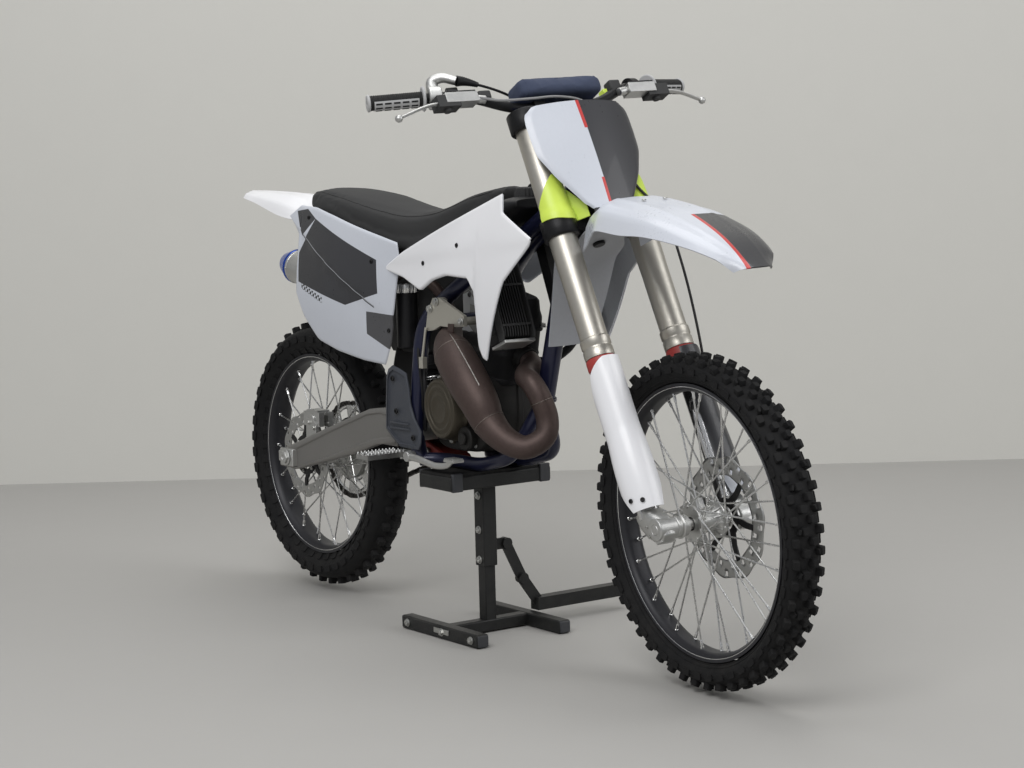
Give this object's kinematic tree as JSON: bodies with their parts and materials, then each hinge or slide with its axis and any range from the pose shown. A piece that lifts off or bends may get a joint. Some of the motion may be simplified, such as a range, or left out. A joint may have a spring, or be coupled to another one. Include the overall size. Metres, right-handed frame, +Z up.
{
  "type": "dirt bike on a lift stand",
  "caption": "Off-road motorcycle with knobby tyres, long-travel fork, side exhaust chamber and white bodywork, standing on a low lift stand with a foot lever.",
  "frame": {"origin": "on the floor under the middle of the bike's length, in its upright mid-plane", "axes": "+X forward along the bike, +Y to the rider's left, +Z up"},
  "size_m": [2.1933, 0.8078, 1.2712],
  "materials": {
    "black_plastic": "matt black",
    "pad_cover": "dark blue cover",
    "hose_black": "satin black",
    "cast_silver": "satin silver",
    "chain_steel": "oiled steel",
    "black_metal": "black anodised",
    "cover_bronze": "bronze",
    "case_grey": "dull cast",
    "pipe_steel": "heat stained",
    "peg_steel": "bare cast steel",
    "white_plastic": "gloss white",
    "fork_chrome": "polished",
    "fork_champagne": "satin anodised",
    "frame_blue": "dark metallic blue",
    "guard_grey": "grey blue",
    "disc_steel": "ground steel",
    "rim_black": "gloss black",
    "tyre_black": "matt black rubber",
    "grip_rubber": "ribbed rubber",
    "link_red": "red anodised",
    "yellow_plastic": "bright yellow",
    "seat_cover": "fine ribbed cover",
    "cap_blue": "blue anodised",
    "stand_black": "black paint"
  },
  "bodies": {
    "front_wheel": {"front_tyre": "tyre_black", "front_rim": "rim_black", "front_hub": "cast_silver", "front_disc": "disc_steel"},
    "rear_wheel": {"rear_tyre": "tyre_black", "rear_rim": "rim_black", "rear_hub": "cast_silver", "rear_disc": "disc_steel", "rear_sprocket": "disc_steel"},
    "steering": {"front_axle": "cast_silver", "fork_tubes": "fork_champagne", "fork_legs": "fork_chrome", "fork_guards": "white_plastic", "clamps": "black_metal", "handlebar": "black_metal", "grips": "grip_rubber", "brake_master": "cast_silver", "clutch_master": "cast_silver", "throttle_housing": "cast_silver", "bar_pad": "pad_cover", "number_plate": "white_plastic", "plate_wedges": "yellow_plastic", "front_fender": "white_plastic", "front_caliper": "cast_silver", "brake_hose": "hose_black", "throttle_cable": "hose_black"},
    "chassis": {"airbox": "black_plastic", "chain": "chain_steel", "chain_guide": "black_plastic", "clutch_cover": "cover_bronze", "engine_case": "case_grey", "engine_cylinder": "case_grey", "exhaust_chamber": "pipe_steel", "foot_controls": "peg_steel", "frame_cradle": "frame_blue", "frame_guards": "guard_grey", "frame_spars": "frame_blue", "fuel_tank": "black_plastic", "head_stay": "cast_silver", "linkage": "link_red", "radiators": "black_metal", "rear_axle": "cast_silver", "rear_caliper": "cast_silver", "rear_fender": "white_plastic", "seat": "seat_cover", "shock": "black_metal", "shrouds": "white_plastic", "side_panels": "white_plastic", "silencer": "cast_silver", "silencer_cap": "cap_blue", "stand_base": "stand_black", "stand_lever": "stand_black", "stand_platform": "stand_black", "stand_post": "stand_black", "swingarm": "cast_silver"}
  },
  "joints": [
    {"name": "steering_turn", "type": "hinge", "parent": "chassis", "child": "steering", "pos_m": [0.70261, 0, 0.3288], "axis": [-0.4399, 0, 0.898], "range_deg": [-38.9, 49.1]},
    {"name": "front_wheel_spin", "type": "hinge", "parent": "steering", "child": "front_wheel", "pos_m": [0.7518, -0.00489, 0.3529], "axis": [0.0798, 0.996, 0.0391], "continuous": true},
    {"name": "rear_wheel_spin", "type": "hinge", "parent": "chassis", "child": "rear_wheel", "pos_m": [-0.733, 0, 0.352], "axis": [0, 1, 0], "continuous": true}
  ]
}
